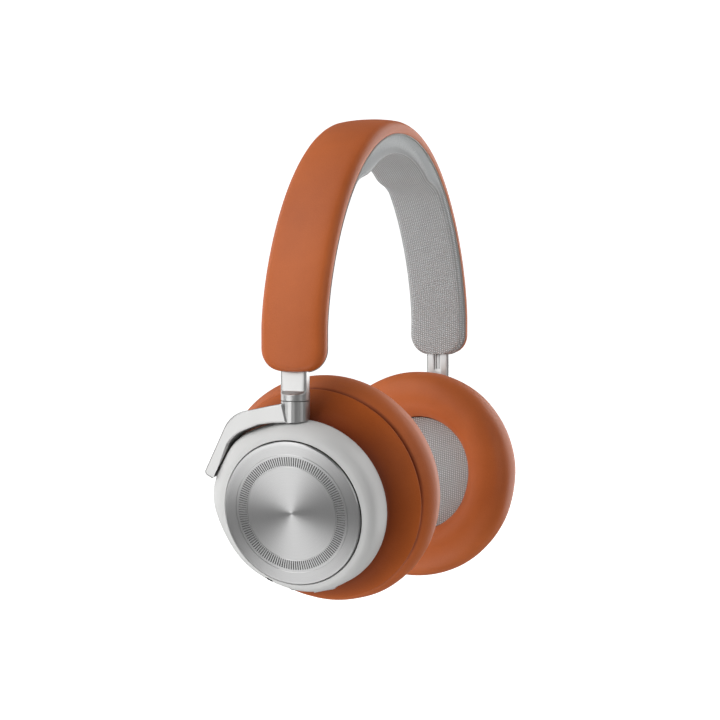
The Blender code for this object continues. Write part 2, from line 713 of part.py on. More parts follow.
def build_side(side, sign):
    """Each joint's empty carries what moves with it: the slider, the yoke and the cup."""
    drop = REST_DROP[side]
    slider_axis = empty(f"slider_axis_{side}", Vector((sign * FOOT_X, 0, FOOT_BOTTOM_Z - drop)))
    swivel_place = Vector((sign * FOOT_X, 0, COLUMN_TOP_Z - drop))
    turn = Matrix.Rotation(REST_SWIVEL[side], 3, "Z")
    swivel_axis = empty(f"swivel_axis_{side}", swivel_place, turn)
    pivot = Vector((sign * (PIVOT.x - FOOT_X), PIVOT.y, PIVOT.z - COLUMN_TOP_Z))
    tilt_axis = empty(f"tilt_axis_{side}", pivot, cup_matrix(sign, REST_TILT[side]), swivel_axis)
    cup = empty(f"cup_centre_{side}", cup_centre(sign), parent=tilt_axis)
    build_slider(side, sign, slider_axis)
    build_yoke(side, sign, swivel_axis)
    housing = build_housing(side, sign, cup)
    build_rim_parts(side, sign, cup, housing)
    build_cup_shells(side, sign, cup)
    build_driver(side, cup)
    build_cushion(side, cup)
    if side == "right":
        low, high = (-0.0150, -0.0120, -0.0140), (0.0150, 0.0120, -0.0090)
        block("battery", low, high, ((0.3, 0.32, 0.35), 0.5), cup, bevel=0.0008)


def build_headphones():
    clear_scene()
    build_headband()
    for side, sign in SIDES.items():
        build_side(side, sign)


build_headphones()
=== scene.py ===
"""Looks of the wireless over ear headphones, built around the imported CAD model.

Metres, in the CAD's frame: +Z up, X from ear to ear, the wearer faces -Y, and the origin is where the crown
of the head meets the headband's pad. In a cup, "depth" runs from the touch disc's face towards the head. In
the headband, it runs from the band's outer line inwards.
"""

import json
import math

import bmesh
import bpy
from mathutils import Matrix, Vector, noise


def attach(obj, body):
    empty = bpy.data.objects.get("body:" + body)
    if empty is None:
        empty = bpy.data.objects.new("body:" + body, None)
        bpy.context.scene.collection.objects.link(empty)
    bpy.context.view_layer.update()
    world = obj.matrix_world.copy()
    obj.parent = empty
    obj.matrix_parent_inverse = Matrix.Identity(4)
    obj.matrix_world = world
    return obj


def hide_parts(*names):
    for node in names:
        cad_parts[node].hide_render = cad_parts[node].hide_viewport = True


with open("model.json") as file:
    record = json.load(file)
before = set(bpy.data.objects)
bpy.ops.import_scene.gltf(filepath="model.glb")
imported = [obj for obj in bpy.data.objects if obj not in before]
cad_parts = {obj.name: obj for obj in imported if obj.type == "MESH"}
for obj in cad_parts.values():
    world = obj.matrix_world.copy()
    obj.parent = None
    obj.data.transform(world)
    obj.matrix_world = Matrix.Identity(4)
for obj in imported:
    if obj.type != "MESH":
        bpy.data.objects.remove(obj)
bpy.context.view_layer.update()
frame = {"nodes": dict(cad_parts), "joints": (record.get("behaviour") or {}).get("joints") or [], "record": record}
record = frame["record"]

SIDES = {"right": -1.0, "left": 1.0}
MOUNTS = {mount["name"]: mount for mount in record["mounts"]}
JOINTS = {joint["name"]: joint for joint in frame["joints"]}

# Headband: the same arch as the CAD's.
ARCH_HALF_SPAN = 0.0889
ARCH_RISE = 0.0888
ARCH_SIDE_POWER = 2.07
ARCH_TOP_POWER = 1.61
ARCH_FOOT_Z = -0.0735
ARCH_STEPS = 200
BAND_TIP_Z = -0.0898
BAND_HALF_WIDTH = 0.0139
TIP_CORNER = 0.0090
TIP_ROUND = 0.0024
TIP_STEPS = 16
TIP_TO_ARCH = 0.0036
SIDE_THICKNESS = 0.0102
CROWN_THICKNESS = 0.0153
CROWN_PAD_REACH = 0.0590
CROWN_PAD_BLEND = 0.0165
CROWN_PAD_CORNER = 0.0075
COVER_DEPTH = 0.0064
PAD_BACK_DEPTH = 0.0050
PIPING_RADIUS = 0.00042
PIPING_INSET = 0.0005
PIPING_BEHIND_COVER = 0.0004

# The hollow in the pad's back: it is deeper down the sides, and it narrows with the band's tip.
HOLLOW_SIDES_FROM_X = 0.074
HOLLOW_DEPTH_SIDES = 0.0088
HOLLOW_DEPTH_CROWN = 0.0054
HOLLOW_HALF_WIDTHS = (0.0073, 0.0075)
HOLLOW_NARROWS_BELOW = 0.0105

# The way that each slider's neck has into the band's tip.
NECK_WAY_GAP = (0.0006, 0.0003)
NECK_WAY_BELOW = 0.003
NECK_WAY_HEIGHT = 0.0150

# Sliders.
FOOT_ABOVE_PIN = 0.0004
FOOT_EDGE_HALF = (0.00555, 0.00545)
FOOT_EDGE_HEIGHT = 0.0002
FOOT_SQUARENESS = 2.2
NECK_SQUARENESS = 9
NECK_HALF = (0.0022, 0.0056)
FOOT_HALF = (0.0057, 0.0056)
NECK_FROM_FOOT = 0.0002
FOOT_HEIGHT = 0.00395
NECK_HEIGHT = 0.01815
BAR_HEIGHT = 0.03515
BAR_HALF = (0.00105, 0.0056)
BAR_FROM_FOOT = 0.00045
BAR_STEP = 0.0003
SLOT_HALF = (0.0008, 0.0004)
SLOT_LENGTH = 0.0160
SLOT_ABOVE_FOOT = 0.0031
SLOT_FROM_EDGE = 0.0043
GROOVE_RADIUS = 0.0018
GROOVE_FROM_FACE = 0.0013
PIN_BORE_RADIUS = 0.0019
PIN_BORE_LENGTH = 0.0036
SLIDER_ROUNDING = 0.00018

# The scoop from foot to neck: drop below the top of the foot, half width along X, and squareness.
SHOULDER = [
    (0.0000, 0.0022, 7.0),
    (0.0003, 0.0024, 5.5),
    (0.0006, 0.0029, 4.5),
    (0.0009, 0.0037, 3.4),
    (0.0012, 0.0047, 2.8),
    (0.0015, 0.0054, 2.4),
    (0.0018, 0.0057, 2.2),
]
SHOULDER_DROP = SHOULDER[-1][0]

# Cups.
DISC_RADIUS = 0.0290
DISC_THICKNESS = 0.0023
DISC_LIP_DEPTH = 0.0011
DISC_SEAT_RADIUS = 0.0277
RECESS_RADIUS = 0.02935
RECESS_FLOOR = 0.0027
FACE_BACK = 0.0043
RIM_RADIUS = 0.0350
HOUSING_DEPTH = 0.0142
WALL = 0.0018
RIM_SWELLS = [
    {"size": 0.0034, "at": math.radians(10), "spread": math.radians(24)},
    {"size": 0.0023, "at": math.radians(46), "spread": math.radians(15)},
    {"size": -0.0020, "at": math.radians(-66), "spread": math.radians(20)},
]
TICKS = 140
TICK_INNER = 0.0194
TICK_OUTER = 0.0229
TICK_DEPTH = 0.00016
TICK_STEPS = 6
TICK_PHASES = (2, 3)
LINE_RADII = (0.0190, 0.0240)
LINE_HALF_WIDTH = 0.00006
LINE_DEPTH = 0.00010

# Openings in the rim: degrees round it from the rear, depth, width round it and height along the cup's axis.
CONTROL_DEPTH = 0.0098
MIC_SLOT = (-66, 0.0026, 0.0032, 0.0024)
RIM_SLOTS = {
    "right": {
        "power_slot": (-34, CONTROL_DEPTH, 0.0136, 0.0040),
        "usb_opening": (-104, CONTROL_DEPTH, 0.0100, 0.0040),
    },
    "left": {
        "listening_slot": (-30, CONTROL_DEPTH, 0.0076, 0.0040),
        "assistant_slot": (-46, CONTROL_DEPTH, 0.0076, 0.0040),
    },
}
RIM_CUT_RADIUS = 0.0347
RIM_CUT_IN = 0.0060
RIM_CUT_OUT = 0.0040
JACK_DEGREES = -82
JACK_PLACE_RADIUS = 0.0344
JACK_BORE_RADIUS = 0.0033
BUSH_HOLE_RADIUS = 0.0028
BUSH_HOLE_REACH = (0.024, 0.040)

# The cushion's outer profile, as (radius, depth): the skirt behind the seam, and the roll in front of it.
SKIRT = [
    (0.0344, 0.0147),
    (0.0349, 0.0168),
    (0.0367, 0.0190),
    (0.0390, 0.0213),
    (0.0411, 0.0240),
    (0.0430, 0.0266),
    (0.0439, 0.0279),
    (0.0438, 0.0285),
    (0.0426, 0.0289),
]
ROLL = [
    (0.0421, 0.0301),
    (0.0436, 0.0303),
    (0.0450, 0.0314),
    (0.0461, 0.0331),
    (0.0470, 0.0358),
    (0.0473, 0.0393),
    (0.0461, 0.0447),
    (0.0425, 0.0489),
    (0.0369, 0.0506),
    (0.0313, 0.0490),
    (0.0276, 0.0447),
    (0.0264, 0.0394),
    (0.0271, 0.0358),
    (0.0287, 0.0322),
]
# How far the leather strays from that profile, and over what length.
SKIRT_RIPPLE = (0.00016, 0.011)
ROLL_RIPPLE = (0.00028, 0.015)
CUSHION_SEEDS = {"right": 3.0, "left": 7.0}

CLOTH_RADIUS = 0.0260
CLOTH_DEPTH = 0.0376
CLOTH_CROWN = 0.0004
CLOTH_BACK_DEPTH = 0.0366

# Points round a circle.
ROUND_STEPS = 144
CLOTH_STEPS = 96
OVAL_STEPS = 72
STAGE_STEPS = 64
ROD_STEPS = 36
TUBE_STEPS = 8


# ---------------------------------------------------------------- node helpers


def add_node(tree, kind, inputs=None, **settings):
    made = tree.nodes.new(kind)
    for name, value in settings.items():
        setattr(made, name, value)
    for name, value in (inputs or {}).items():
        made.inputs[name].default_value = value
    return made


def new_material(name, roughness, metallic=0.0, **sockets):
    """A material and its tree and shader, with constant values on the shader's own sockets."""
    made = bpy.data.materials.new(name)
    made.use_nodes = True
    shader = made.node_tree.nodes["Principled BSDF"]
    shader.inputs["Roughness"].default_value = roughness
    shader.inputs["Metallic"].default_value = metallic
    for socket, value in sockets.items():
        shader.inputs[socket.replace("_", " ")].default_value = value
    return made, made.node_tree, shader


def object_noise(tree, scale, detail, roughness=0.5):
    """Noise over the piece's own coordinates, in metres."""
    coordinates = add_node(tree, "ShaderNodeTexCoord").outputs["Object"]
    made = add_node(tree, "ShaderNodeTexNoise", {"Scale": scale, "Detail": detail, "Roughness": roughness})
    tree.links.new(coordinates, made.inputs["Vector"])
    return made.outputs["Fac"]


def ramp(tree, source, low, high, start=0.35, end=0.65):
    """A colour that runs from low to high as the source runs from start to end."""
    made = tree.nodes.new("ShaderNodeValToRGB")
    made.color_ramp.elements[0].position = start
    made.color_ramp.elements[1].position = end
    made.color_ramp.elements[0].color = (*low, 1.0)
    made.color_ramp.elements[1].color = (*high, 1.0)
    tree.links.new(source, made.inputs["Fac"])
    return made.outputs["Color"]


def rescale(tree, source, low, high):
    made = add_node(tree, "ShaderNodeMapRange", {"To Min": low, "To Max": high})
    tree.links.new(source, made.inputs["Value"])
    return made.outputs["Result"]


def math_node(tree, operation, first, second=None):
    made = add_node(tree, "ShaderNodeMath", operation=operation)
    for socket, value in zip(made.inputs, (first, second)):
        if value is None:
            continue
        if isinstance(value, (int, float)):
            socket.default_value = value
        else:
            tree.links.new(value, socket)
    return made.outputs[0]


def bump(tree, height, strength, distance, below=None):
    made = add_node(tree, "ShaderNodeBump", {"Strength": strength, "Distance": distance})
    tree.links.new(height, made.inputs["Height"])
    if below is not None:
        tree.links.new(below, made.inputs["Normal"])
    return made.outputs["Normal"]


# ---------------------------------------------------------------- materials

# Sockets of the Mix node in its colour form.
MIX_A = 6
MIX_B = 7
MIX_RESULT = 2

# What the leather's own colour is multiplied by: painted shade where it lies in shade, and no change where it
# doesn't.
PAINTED_SHADE_COLOUR = (0.36, 0.26, 0.12)
UNTINTED = (1.0, 1.0, 1.0)


def leather(name, light, dark, painted_shade_depths=None, gloss=0.5):
    """Fine-grained leather: pebbled cells, pores and a slow drift between two tones.

    The two depths, if given, lie along the piece's axis: before the first, the leather's colour is darkened as
    painted shade, and from the second on it has its own colour.
    """
    made, tree, shader = new_material(name, 0.5, Specular_IOR_Level=gloss)
    drift = object_noise(tree, 26, 4.0)
    pores = object_noise(tree, 2600, 2.0, 0.7)
    mottle = math_node(tree, "ADD", drift, math_node(tree, "MULTIPLY", pores, 0.35))
    colour = ramp(tree, mottle, dark, light, 0.42, 0.92)
    coordinates = add_node(tree, "ShaderNodeTexCoord").outputs["Object"]
    # Painted shade: the colour is multiplied by a darker tint that fades out along the piece's axis.
    if painted_shade_depths:
        split = tree.nodes.new("ShaderNodeSeparateXYZ")
        tree.links.new(coordinates, split.inputs["Vector"])
        depth = add_node(tree, "ShaderNodeMapRange", {"From Min": -painted_shade_depths[0], "From Max": -painted_shade_depths[1]})
        tree.links.new(split.outputs["Z"], depth.inputs["Value"])
        tone = add_node(tree, "ShaderNodeMix", data_type="RGBA", blend_type="MULTIPLY")
        tone.inputs["Factor"].default_value = 1.0
        tree.links.new(colour, tone.inputs[MIX_A])
        painted_shade_ramp = ramp(tree, depth.outputs["Result"], PAINTED_SHADE_COLOUR, UNTINTED, 0.0, 1.0)
        tree.links.new(painted_shade_ramp, tone.inputs[MIX_B])
        colour = tone.outputs[MIX_RESULT]
    tree.links.new(colour, shader.inputs["Base Color"])
    cells = add_node(tree, "ShaderNodeTexVoronoi", {"Scale": 1500, "Randomness": 1.0}, feature="SMOOTH_F1")
    tree.links.new(coordinates, cells.inputs["Vector"])
    grain = bump(tree, cells.outputs["Distance"], 0.28, 0.00016)
    soft = bump(tree, object_noise(tree, 180, 3.0), 0.12, 0.0006, grain)
    tree.links.new(soft, shader.inputs["Normal"])
    tree.links.new(rescale(tree, drift, 0.44, 0.60), shader.inputs["Roughness"])
    return made


def knit(name, light, dark, pitch):
    """Spacer knit: a diagonal grid of small loops, laid out on the piece's weave map, which is in metres."""
    made, tree, shader = new_material(name, 0.88, Sheen_Weight=0.25, Sheen_Roughness=0.5)
    weave = add_node(tree, "ShaderNodeUVMap", uv_map="weave")
    turned = add_node(tree, "ShaderNodeMapping", {"Rotation": (0, 0, math.radians(38))})
    tree.links.new(weave.outputs["UV"], turned.inputs["Vector"])
    split = tree.nodes.new("ShaderNodeSeparateXYZ")
    tree.links.new(turned.outputs["Vector"], split.inputs["Vector"])
    waves = []
    for axis, spacing in (("X", pitch), ("Y", pitch * 1.25)):
        angle = math_node(tree, "MULTIPLY", split.outputs[axis], 2 * math.pi / spacing)
        waves.append(math_node(tree, "SINE", angle))
    loops = math_node(tree, "MULTIPLY", *waves)
    height = rescale(tree, loops, 0.0, 1.5)
    fuzz = object_noise(tree, 900, 3.0, 0.6)
    from_loops = math_node(tree, "MULTIPLY", height, 0.75)
    shade = math_node(tree, "ADD", from_loops, math_node(tree, "MULTIPLY", fuzz, 0.4))
    tree.links.new(ramp(tree, shade, dark, light, 0.25, 0.95), shader.inputs["Base Color"])
    tree.links.new(bump(tree, shade, 0.7, 0.0003), shader.inputs["Normal"])
    return made


def satin_metal(name, tone, roughness, grain=0.06):
    """Bead-blasted, anodised aluminium."""
    made, tree, shader = new_material(name, roughness, 1.0)
    drift = object_noise(tree, 60, 2.0)
    lighter = tuple(min(1.0, channel * 1.04) for channel in tone)
    darker = tuple(channel * 0.96 for channel in tone)
    tree.links.new(ramp(tree, drift, darker, lighter), shader.inputs["Base Color"])
    tree.links.new(rescale(tree, drift, roughness * 0.92, roughness * 1.08), shader.inputs["Roughness"])
    tree.links.new(bump(tree, object_noise(tree, 5200, 2.0), grain, 0.00005), shader.inputs["Normal"])
    return made


def painted_shell(name, tone, roughness):
    """Fine-textured, warm grey shell."""
    made, tree, shader = new_material(name, roughness, 0.0, Specular_IOR_Level=0.5)
    drift = object_noise(tree, 45, 2.0)
    speck = object_noise(tree, 3800, 2.0)
    lighter = tuple(channel * 1.03 for channel in tone)
    darker = tuple(channel * 0.97 for channel in tone)
    tree.links.new(ramp(tree, drift, darker, lighter), shader.inputs["Base Color"])
    tree.links.new(rescale(tree, speck, roughness * 0.85, roughness * 1.15), shader.inputs["Roughness"])
    tree.links.new(bump(tree, speck, 0.10, 0.00006), shader.inputs["Normal"])
    return made


def turned_metal(name, tone, roughness):
    """Aluminium turned on a lathe: circular micro-grooves round the piece's own Z axis."""
    made, tree, shader = new_material(name, roughness, 1.0, Anisotropic=0.87, Anisotropic_Rotation=0.25)
    tangent = add_node(tree, "ShaderNodeTangent", direction_type="RADIAL", axis="Z")
    tree.links.new(tangent.outputs["Tangent"], shader.inputs["Tangent"])
    coordinates = add_node(tree, "ShaderNodeTexCoord").outputs["Object"]
    split = tree.nodes.new("ShaderNodeSeparateXYZ")
    tree.links.new(coordinates, split.inputs["Vector"])
    squared = [math_node(tree, "POWER", split.outputs[axis], 2.0) for axis in ("X", "Y")]
    radius = math_node(tree, "SQRT", math_node(tree, "ADD", *squared))
    grooves = add_node(tree, "ShaderNodeTexNoise", {"Scale": 9000.0, "Detail": 2.0}, noise_dimensions="1D")
    tree.links.new(radius, grooves.inputs["W"])
    lighter = tuple(min(1.0, channel * 1.06) for channel in tone)
    darker = tuple(channel * 0.90 for channel in tone)
    tree.links.new(ramp(tree, grooves.outputs["Fac"], darker, lighter), shader.inputs["Base Color"])
    tree.links.new(bump(tree, grooves.outputs["Fac"], 0.03, 0.00002), shader.inputs["Normal"])
    return made


def plain_plastic(name, tone, roughness, grain=0.08):
    """Moulded plastic or rubber with a fine texture."""
    made, tree, shader = new_material(name, roughness)
    drift = object_noise(tree, 120, 3.0)
    lighter = tuple(channel * 1.15 + 0.004 for channel in tone)
    darker = tuple(channel * 0.85 for channel in tone)
    tree.links.new(ramp(tree, drift, darker, lighter), shader.inputs["Base Color"])
    tree.links.new(bump(tree, object_noise(tree, 2400, 3.0), grain, 0.0001), shader.inputs["Normal"])
    return made


def make_materials():
    light_tan = (0.650, 0.150, 0.026)
    dark_tan = (0.500, 0.103, 0.012)
    return {
        "band_leather": leather("band_leather", light_tan, dark_tan),
        # Painted shade: the roll's leather darkens by the seam's crease, and the skirt's leather towards the
        # housing.
        "cushion_leather": leather("cushion_leather", light_tan, dark_tan, (0.0300, 0.0309)),
        "skirt_leather": leather("skirt_leather", light_tan, dark_tan, (0.0165, 0.0290), 0.22),
        "band_knit": knit("band_knit", (0.88, 0.905, 0.91), (0.46, 0.48, 0.485), 0.00125),
        "driver_knit": knit("driver_knit", (0.86, 0.91, 0.92), (0.42, 0.455, 0.465), 0.00125),
        "piping": knit("piping", (0.62, 0.61, 0.59), (0.48, 0.47, 0.45), 0.0008),
        "aluminium": satin_metal("aluminium", (0.53, 0.53, 0.525), 0.38),
        "polished": satin_metal("polished", (0.90, 0.90, 0.90), 0.16, 0.02),
        "turned": turned_metal("turned", (0.51, 0.51, 0.51), 0.28),
        "tick_floor": satin_metal("tick_floor", (0.17, 0.17, 0.17), 0.45),
        "shell": painted_shell("shell", (0.76, 0.76, 0.75), 0.42),
        "steel": satin_metal("steel", (0.50, 0.50, 0.51), 0.30),
        "bronze": satin_metal("bronze", (0.55, 0.42, 0.20), 0.38),
        "copper": satin_metal("copper", (0.60, 0.28, 0.12), 0.35),
        "foil": satin_metal("foil", (0.32, 0.34, 0.37), 0.42),
        "black": plain_plastic("black", (0.022, 0.022, 0.023), 0.5),
        "control": plain_plastic("control", (0.040, 0.040, 0.042), 0.38),
        "rubber": plain_plastic("rubber", (0.018, 0.018, 0.018), 0.72, 0.15),
        "acetal": plain_plastic("acetal", (0.72, 0.72, 0.69), 0.45),
        "board": plain_plastic("board", (0.02, 0.12, 0.06), 0.4),
    }


# ---------------------------------------------------------------- mesh helpers


def between(a, b, c, d, t):
    """The value at t, from b at 0 to c at 1, on a smooth curve through a, b, c and d."""
    squared = 2 * a - 5 * b + 4 * c - d
    cubed = 3 * b - a - 3 * c + d
    return 0.5 * (2 * b + (c - a) * t + squared * t**2 + cubed * t**3)


def curve_through(points, per_span):
    """Points along a smooth curve through the given ones, which can have any number of coordinates."""
    last = len(points) - 1
    made = []
    for k in range(last):
        four = [points[min(max(k + step, 0), last)] for step in (-1, 0, 1, 2)]
        for part in range(per_span):
            made.append(tuple(between(*values, part / per_span) for values in zip(*four)))
    made.append(tuple(points[-1]))
    return made


def mesh_object(name, points, faces, sharp=35, weave=None):
    """A closed mesh, smooth except at sharp edges. `weave` is each point's place on the cloth, in metres."""
    mesh = bpy.data.meshes.new(name)
    mesh.from_pydata([tuple(point) for point in points], [], faces)
    if weave:
        layer = mesh.uv_layers.new(name="weave")
        for loop in mesh.loops:
            layer.data[loop.index].uv = weave[loop.vertex_index]
    work = bmesh.new()
    work.from_mesh(mesh)
    bmesh.ops.remove_doubles(work, verts=work.verts, dist=1e-7)
    bmesh.ops.recalc_face_normals(work, faces=work.faces)
    if work.calc_volume(signed=True) < 0:
        bmesh.ops.reverse_faces(work, faces=work.faces)
    work.to_mesh(mesh)
    work.free()
    mesh.shade_smooth()
    mesh.set_sharp_from_angle(angle=math.radians(sharp))
    obj = bpy.data.objects.new(name, mesh)
    bpy.context.collection.objects.link(obj)
    return obj


def round_point(radius, height, k, steps):
    """Point k of the `steps` points round a circle."""
    angle = 2 * math.pi * k / steps
    return Vector((radius * math.cos(angle), radius * math.sin(angle), height))


def fan_faces(circles, steps):
    """Faces of a fan round point 0, and between the circles of `steps` points that follow it."""
    faces = [(0, 1 + k, 1 + (k + 1) % steps) for k in range(steps)]
    for level in range(circles - 1):
        low = 1 + level * steps
        for k in range(steps):
            after = (k + 1) % steps
            faces.append((low + k, low + steps + k, low + steps + after, low + after))
    return faces


def ring_faces(rings, around):
    """Faces between rings of `around` points each, with the two ends capped."""
    faces = []
    for level in range(rings - 1):
        for k in range(around):
            after = (k + 1) % around
            low = level * around
            high = low + around
            faces.append((low + k, low + after, high + after, high + k))
    faces.append(tuple(range(around)))
    faces.append(tuple(range((rings - 1) * around, rings * around)))
    return faces


def loft(name, rings, sharp=35, weave=None):
    points = [point for ring in rings for point in ring]
    flat_weave = [place for ring in weave for place in ring] if weave else None
    return mesh_object(name, points, ring_faces(len(rings), len(rings[0])), sharp, flat_weave)


def revolve(name, profile, place, swell=None, ripple=None):
    """Turns a closed profile of (radius, depth[, share of the swell]) about `place`'s Z axis."""
    steps = ROUND_STEPS
    columns = []
    points = []
    for radius, depth, *share in profile:
        if radius == 0:
            columns.append([len(points)] * steps)
            points.append(Vector((0.0, 0.0, -depth)))
            continue
        columns.append(list(range(len(points), len(points) + steps)))
        for k in range(steps):
            angle = 2 * math.pi * k / steps
            reach = radius + (share[0] * swell(angle) if share and swell else 0.0)
            point = Vector((reach * math.cos(angle), reach * math.sin(angle), -depth))
            points.append(ripple(point) if ripple else point)
    faces = []
    for here, after in zip(columns, columns[1:] + columns[:1]):
        for k in range(steps):
            corners = (here[k], here[(k + 1) % steps], after[(k + 1) % steps], after[k])
            different = tuple(dict.fromkeys(corners))
            if len(different) > 2:
                faces.append(different)
    obj = mesh_object(name, points, faces)
    obj.matrix_world = place
    return obj


def block(name, low, high, place):
    xs, ys, zs = zip(low, high)
    corners = [place @ Vector((x, y, z)) for x in xs for y in ys for z in zs]
    faces = [(0, 1, 3, 2), (4, 6, 7, 5), (0, 4, 5, 1), (2, 3, 7, 6), (0, 2, 6, 4), (1, 5, 7, 3)]
    return mesh_object(name, corners, faces)


def tube_ring(centre, across, other, radius, steps):
    """A circle of points about `centre`, in the plane of two unit directions."""
    angles = [2 * math.pi * k / steps for k in range(steps)]
    return [centre + radius * (across * math.cos(angle) + other * math.sin(angle)) for angle in angles]


def rod(name, start, end, radius):
    axis = (end - start).normalized()
    across = axis.orthogonal().normalized()
    other = axis.cross(across)
    return loft(name, [tube_ring(centre, across, other, radius, ROD_STEPS) for centre in (start, end)])


def apply_modifiers(obj):
    graph = bpy.context.evaluated_depsgraph_get()
    obj.data = bpy.data.meshes.new_from_object(obj.evaluated_get(graph))
    obj.modifiers.clear()


def cut(obj, cutters):
    """Cuts the shapes away and removes the cutters."""
    for cutter in cutters:
        boolean = obj.modifiers.new("cut", "BOOLEAN")
        boolean.operation = "DIFFERENCE"
        boolean.solver = "EXACT"
        boolean.object = cutter
    apply_modifiers(obj)
    for cutter in cutters:
        bpy.data.objects.remove(cutter, do_unlink=True)


def soften(obj, width, segments, angle):
    """Rounds the edges that are sharper than `angle`, in degrees."""
    rounding = obj.modifiers.new("bevel", "BEVEL")
    rounding.width = width
    rounding.segments = segments
    rounding.limit_method = "ANGLE"
    rounding.angle_limit = math.radians(angle)
    rounding.harden_normals = False
    apply_modifiers(obj)


def dress(obj, look, body, slot, *nodes):
    """Gives a piece its material and its body, and hides the CAD nodes that it stands for. The slot is not used.
    """
    obj.data.materials.clear()
    obj.data.materials.append(LOOKS[look])
    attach(obj, body)
    if nodes:
        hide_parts(*nodes)


def uneven(amount, size, seed):
    """Moves a point by smooth noise, for soft goods that are never quite regular."""

    def move(point):
        where = Vector(point) / size + Vector((seed, 0.0, 0.0))
        return Vector(point) + amount * noise.noise_vector(where)

    return move


# ---------------------------------------------------------------- headband


def smooth_step(value):
    value = min(max(value, 0.0), 1.0)
    return value * value * (3 - 2 * value)


def arch_point(angle):
    side = math.cos(angle)
    x = math.copysign(abs(side) ** (2 / ARCH_SIDE_POWER), side) * ARCH_HALF_SPAN
    z = ARCH_FOOT_Z + ARCH_RISE * abs(math.sin(angle)) ** (2 / ARCH_TOP_POWER)
    return Vector((x, 0.0, z))


def band_stations():
    """Points on the outer line, each with the direction into the band and the distance from the crown."""
    drops = [TIP_CORNER * (k / TIP_STEPS) ** 2 for k in range(TIP_STEPS + 1)]
    low = [Vector((ARCH_HALF_SPAN, 0.0, BAND_TIP_Z + drop)) for drop in drops]
    low.append(Vector((ARCH_HALF_SPAN, 0.0, BAND_TIP_Z + TIP_CORNER + TIP_TO_ARCH)))
    arch = [arch_point(math.pi * k / ARCH_STEPS) for k in range(ARCH_STEPS // 2 + 1)]
    half = low + arch
    points = half + [Vector((-point.x, 0.0, point.z)) for point in reversed(half[:-1])]
    stations = []
    run = 0.0
    for k, point in enumerate(points):
        before = points[max(k - 1, 0)]
        after = points[min(k + 1, len(points) - 1)]
        along = (after - before).normalized()
        run += (point - before).length
        stations.append((point, Vector((-along.z, 0.0, along.x)), run))
    return stations


def half_width_at(point):
    rise = max(point.z - BAND_TIP_Z, 0.0)
    if rise >= TIP_CORNER:
        return BAND_HALF_WIDTH
    return BAND_HALF_WIDTH - TIP_CORNER + math.sqrt(TIP_CORNER**2 - (TIP_CORNER - rise) ** 2)


def tip_inset(point):
    """How far the leather's outer face curls in at the band's tips."""
    rise = max(point.z - BAND_TIP_Z, 0.0)
    if rise >= TIP_ROUND:
        return 0.0
    return TIP_ROUND - math.sqrt(TIP_ROUND**2 - (TIP_ROUND - rise) ** 2)


def pad_thickness(point, across):
    """Thin down the sides, with a thicker cushion with round corners under the crown."""
    into_corner = min(max(abs(across) - (BAND_HALF_WIDTH - CROWN_PAD_CORNER), 0.0), CROWN_PAD_CORNER * 0.98)
    reach = CROWN_PAD_REACH - CROWN_PAD_CORNER + math.sqrt(CROWN_PAD_CORNER**2 - into_corner**2)
    crown = smooth_step((reach - abs(point.x)) / CROWN_PAD_BLEND)
    return SIDE_THICKNESS + crown * (CROWN_THICKNESS - SIDE_THICKNESS)


def mirrored(half):
    return half + [(-across, depth) for across, depth in reversed(half)]


def cover_section(point):
    """The leather's outline across the band: nearly flat, with a rounded shoulder at each edge."""
    width = half_width_at(point)
    inset = tip_inset(point)
    flat = width - 0.0030
    outer = [(flat * share, 0.00085 * share**2 + inset) for share in (0.2, 0.4, 0.6, 0.8)]
    shoulder = [
        (flat, 0.00092),
        (width - 0.0021, 0.00132),
        (width - 0.0013, 0.00190),
        (width - 0.0006, 0.00270),
        (width - 0.0002, 0.00360),
        (width, 0.0048),
        (width - 0.0001, COVER_DEPTH - 0.0004),
        (width - 0.0004, COVER_DEPTH),
    ]
    outer += [(across, depth + inset * (1 - depth / COVER_DEPTH)) for across, depth in shoulder]
    inner_depth = 0.0026 + inset * 0.7
    inner = [(width - 0.0015, COVER_DEPTH), (width - 0.0018, 0.0042)]
    inner += [(flat * 0.9, inner_depth), (flat * 0.3, inner_depth)]
    return mirrored(outer + inner)


def pad_section(point):
    """The knit pad's outline across the band: tucked in behind the leather, and round towards the head."""
    width = half_width_at(point) - 0.0005
    deep = pad_thickness(point, width - 0.0020)
    side = [
        (width - 0.0022, PAD_BACK_DEPTH),
        (width - 0.0008, COVER_DEPTH - 0.0002),
        (width - 0.0002, COVER_DEPTH + 0.0002),
        (width - 0.0001, COVER_DEPTH + 0.0008),
        (width - 0.0004, COVER_DEPTH * 0.45 + deep * 0.55),
        (width - 0.0009, deep - 0.0009),
        (width - 0.0016, deep - 0.0003),
    ]
    flat = width - 0.0024
    under = []
    for share in (1.0, 0.9, 0.8, 0.7, 0.6, 0.5, 0.4, 0.3, 0.2, 0.1):
        across = flat * share
        under.append((across, pad_thickness(point, across)))
    # The hollow that the slider's bar and its guide run in.
    hollow = HOLLOW_DEPTH_SIDES if abs(point.x) > HOLLOW_SIDES_FROM_X else HOLLOW_DEPTH_CROWN
    narrow = min(1.0, flat / HOLLOW_NARROWS_BELOW)
    back = [(HOLLOW_HALF_WIDTHS[0] * narrow, hollow), (HOLLOW_HALF_WIDTHS[1] * narrow, PAD_BACK_DEPTH)]
    return mirrored(back + side + under)


def sweep(name, section):
    """Carries an outline along the band."""
    rings = []
    weave = []
    for point, inward, run in band_stations():
        outline = section(point)
        rings.append([point + inward * depth + Vector((0, across, 0)) for across, depth in outline])
        weave.append([(across, run) for across, _ in outline])
    return loft(name, rings, 50, weave)


def edge_line(sign, depth, inset):
    """The band's edge at some depth: up one side, over the crown and down the other."""
    line = []
    for point, inward, _ in band_stations():
        line.append(point + inward * depth + Vector((0, sign * (half_width_at(point) - inset), 0)))
    return line


